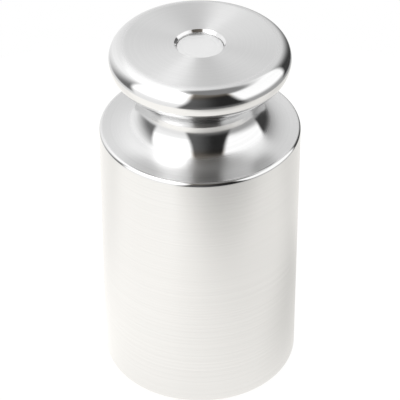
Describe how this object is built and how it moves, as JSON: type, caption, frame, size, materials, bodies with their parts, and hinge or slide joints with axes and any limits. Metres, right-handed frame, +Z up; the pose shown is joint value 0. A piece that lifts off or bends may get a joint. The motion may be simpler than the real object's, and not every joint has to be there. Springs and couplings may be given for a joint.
{
  "type": "calibration weight",
  "caption": "Stainless steel knob weight: plain cylinder, round-bottomed neck groove and round knob, with a sealed adjusting bore in the top of the knob.",
  "frame": {"origin": "centre of the base, on the surface that the weight stands on", "axes": "+Z up the turning axis from the base to the knob; X and Y are alike"},
  "size_m": [0.0463, 0.0462, 0.0876],
  "materials": {
    "stainless_steel": "finely turned satin on the wall, shoulder and knob top; polished neck groove and rounded edges",
    "plug_brass": "as machined",
    "seal_aluminium": "pressed flat, soft satin",
    "shot_steel": "bright ball"
  },
  "bodies": {
    "root": {"weight_body": "stainless_steel", "closing_plug": "plug_brass", "seal_disc": "seal_aluminium", "adjusting_shot": "shot_steel"}
  },
  "joints": []
}
